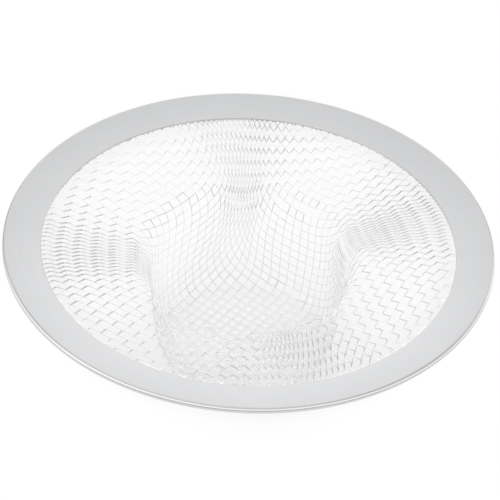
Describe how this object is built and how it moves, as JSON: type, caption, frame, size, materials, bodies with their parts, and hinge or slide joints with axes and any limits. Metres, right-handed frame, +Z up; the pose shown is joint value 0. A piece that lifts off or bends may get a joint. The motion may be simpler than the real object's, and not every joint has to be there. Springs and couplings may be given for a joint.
{
  "type": "sink strainer",
  "caption": "Round kitchen sink strainer: a pressed expanded-metal basket with a sloping brim, a tapered well and a flat floor, held in a wide folded steel rim.",
  "frame": {"origin": "middle of the underside of the basket's floor, which is the middle of the base of the part's box", "axes": "+Z up, along the axis of the well, from the floor to the open mouth; X and Y lie in the plane of the floor"},
  "size_m": [0.114, 0.114, 0.031],
  "materials": {
    "rim_steel": "satin",
    "mesh_steel": "bright"
  },
  "bodies": {
    "root": {"rim_ring": "rim_steel", "mesh_basket": "mesh_steel"}
  },
  "joints": []
}
